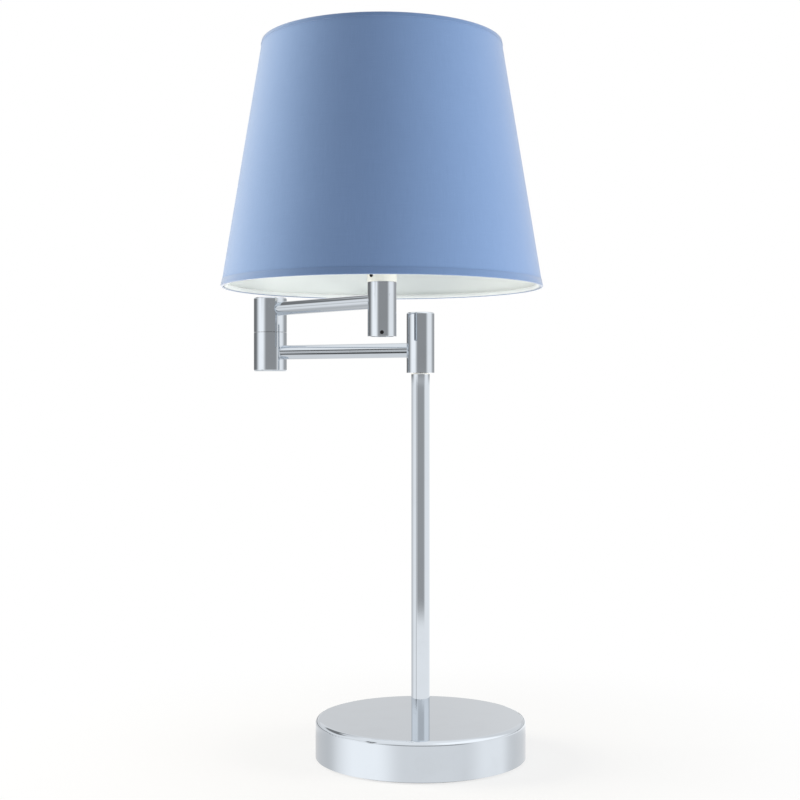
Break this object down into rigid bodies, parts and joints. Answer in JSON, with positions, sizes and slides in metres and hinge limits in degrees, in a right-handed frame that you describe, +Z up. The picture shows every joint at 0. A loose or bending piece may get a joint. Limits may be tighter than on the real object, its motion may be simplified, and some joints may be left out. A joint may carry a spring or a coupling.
{
  "type": "swing-arm table lamp",
  "caption": "Table lamp with a weighted round base, a short post, a two-piece folding arm and a tapered fabric drum shade.",
  "frame": {"origin": "centre of the base's resting face, on the post's axis", "axes": "+Z up along the post, +X to the right and +Y away seen from the front, with the gland at the rear (+Y)"},
  "size_m": [0.2507, 0.2538, 0.567],
  "materials": {
    "chrome": "polished chrome plate",
    "cast_iron": "rough cast",
    "zinc_steel": "bright zinc plate",
    "felt": "felt",
    "gland_plastic": "moulded, satin",
    "terminal_plastic": "moulded",
    "brass": "bright",
    "nylon": "turned",
    "black_steel": "black oxide",
    "cream_plastic": "moulded, satin gloss",
    "ceramic": "glazed",
    "white_lacquer": "gloss lacquer",
    "liner": "matt film",
    "blue_fabric": "fine plain weave, bonded to the liner",
    "bulb_cap_metal": "bright, threaded",
    "opal_glass": "opal",
    "lead_sheath": "smooth PVC"
  },
  "bodies": {
    "base": {"base_cover": "chrome", "base_weight": "cast_iron", "bottom_plate": "zinc_steel", "bottom_plate_screws": "zinc_steel", "base_pad": "felt", "cord_gland": "gland_plastic", "terminal_block": "terminal_plastic", "earth_screw": "brass", "post_tube": "chrome", "post_foot_plug": "zinc_steel", "base_nipple": "zinc_steel", "base_washer": "zinc_steel", "base_nut": "zinc_steel", "post_bush": "nylon", "post_lead": "lead_sheath"},
    "lower_arm": {"post_hub": "chrome", "post_hub_cap": "chrome", "pivot_spigot": "zinc_steel", "spigot_spring_washer": "zinc_steel", "spigot_nut": "zinc_steel", "post_stop_pin": "zinc_steel", "lower_arm_tube": "chrome", "elbow_lower": "chrome", "elbow_lower_cap": "chrome", "elbow_seam_washer": "nylon", "elbow_spindle": "zinc_steel", "elbow_spring_washer": "zinc_steel", "elbow_nut": "zinc_steel", "lower_arm_lead": "lead_sheath"},
    "upper_arm": {"elbow_upper": "chrome", "elbow_upper_cap": "chrome", "elbow_bush": "nylon", "elbow_stop_pin": "zinc_steel", "upper_arm_tube": "chrome", "holder_hub": "chrome", "holder_hub_plug": "chrome", "holder_grub_screw": "black_steel", "holder_nipple": "zinc_steel", "holder_nipple_nut": "zinc_steel", "lampholder_cap": "cream_plastic", "lampholder_lock_screw": "black_steel", "lampholder_skirt": "cream_plastic", "lampholder_core": "ceramic", "lampholder_screw_shell": "brass", "lampholder_contact": "brass", "shade_ring_nut": "cream_plastic", "shade_spider": "white_lacquer", "shade_bottom_ring": "white_lacquer", "shade_top_ring": "white_lacquer", "shade_liner": "liner", "shade_cover": "blue_fabric", "shade_hems": "blue_fabric", "bulb_cap": "bulb_cap_metal", "bulb_glass": "opal_glass", "upper_arm_lead": "lead_sheath"}
  },
  "joints": [
    {"name": "post_swivel", "type": "hinge", "parent": "base", "child": "lower_arm", "pos_m": [0, 0, 0.311], "axis": [0, 0, 1], "range_deg": [-160, 160]},
    {"name": "elbow_swivel", "type": "hinge", "parent": "lower_arm", "child": "upper_arm", "pos_m": [-0.12752, 0.06247, 0.34655], "axis": [0, 0, 1], "range_deg": [-325, 7]}
  ]
}
